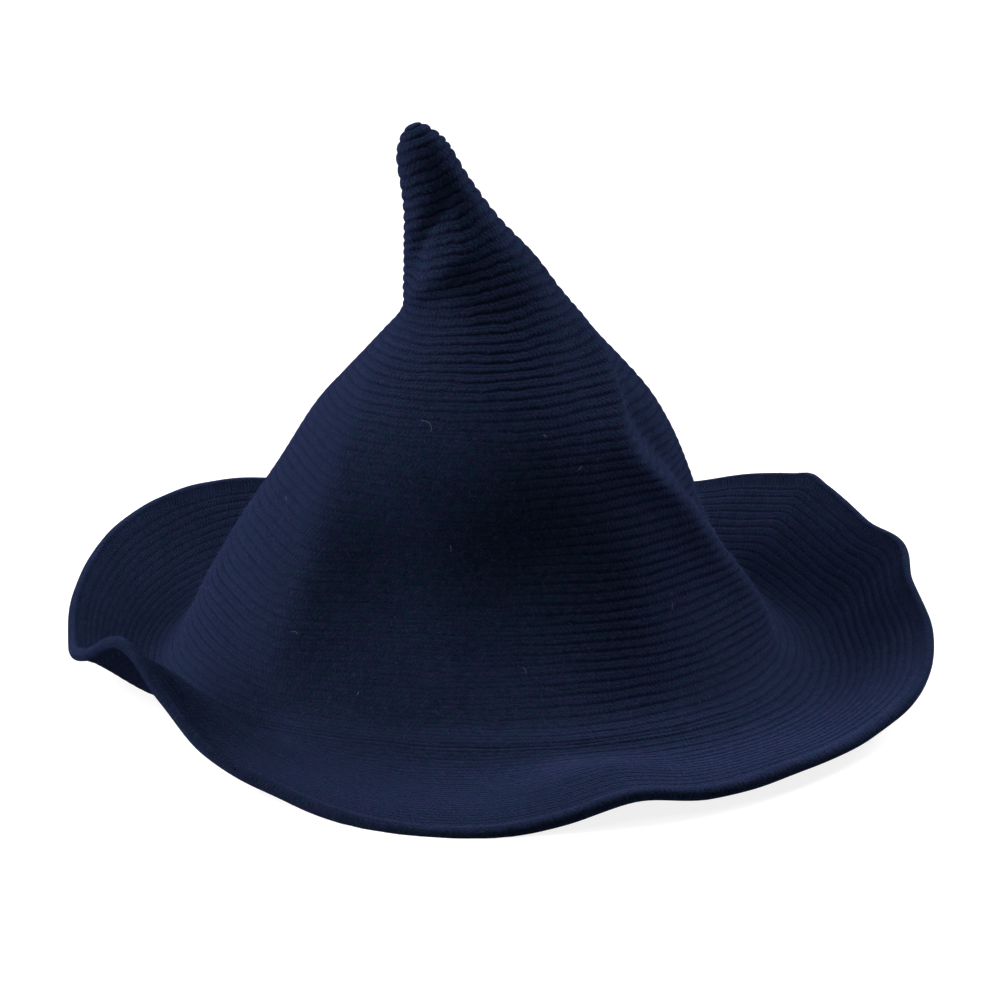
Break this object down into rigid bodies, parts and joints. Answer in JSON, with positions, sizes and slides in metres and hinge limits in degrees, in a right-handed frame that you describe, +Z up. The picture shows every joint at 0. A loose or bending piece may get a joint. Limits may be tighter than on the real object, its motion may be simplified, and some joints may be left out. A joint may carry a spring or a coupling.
{
  "type": "witch hat",
  "caption": "Soft ribbed wool knit witch hat with a leaning pointed peak that bends over, a flared crown and a wide wavy wired brim whose front turns up.",
  "frame": {"origin": "middle of the footprint, on the surface that the hat stands on", "axes": "+Z up through the peak, -Y to the wearer's front, +X to the right seen from the front"},
  "size_m": [0.4174, 0.4169, 0.2624],
  "materials": {
    "knit": "fuzzy ribbed wool knit",
    "thread": "matte sewing thread",
    "ribbon": "grosgrain ribbon",
    "label": "woven satin, blank",
    "wire": "drawn wire",
    "sleeve": "crimped tube"
  },
  "bodies": {
    "hat": {"peak_bend_knit": "knit", "crown_knit": "knit", "brim_knit": "knit", "brim_fold_knit": "knit", "hem_knit": "knit", "hem_fold_left_knit": "knit", "hem_fold_right_knit": "knit", "brim_wire": "wire", "brim_wire_fold_left": "wire", "brim_wire_fold_right": "wire", "hem_thread": "thread", "hem_thread_fold_left": "thread", "hem_thread_fold_right": "thread", "sweatband_thread": "thread", "care_label_thread": "thread", "wire_sleeve": "sleeve", "sweatband": "ribbon", "care_label": "label"},
    "peak": {"peak_knit": "knit", "tip_knot": "thread"},
    "brim_front": {"brim_front_knit": "knit", "hem_front_knit": "knit", "brim_wire_front": "wire", "hem_thread_front": "thread"}
  },
  "joints": [
    {"name": "peak_bend", "type": "hinge", "parent": "hat", "child": "peak", "pos_m": [-0.0061, 0.0033, 0.172], "axis": [0, 1, 0], "range_deg": [-75, 60], "deforming": ["peak_bend_knit"]},
    {"name": "brim_front_turn_up", "type": "hinge", "parent": "hat", "child": "brim_front", "pos_m": [0, -0.1627, 0.012], "axis": [-1, 0, 0], "range_deg": [0, 95], "deforming": ["brim_fold_knit", "hem_fold_left_knit", "hem_fold_right_knit", "brim_wire_fold_left", "brim_wire_fold_right", "hem_thread_fold_left", "hem_thread_fold_right"]}
  ]
}
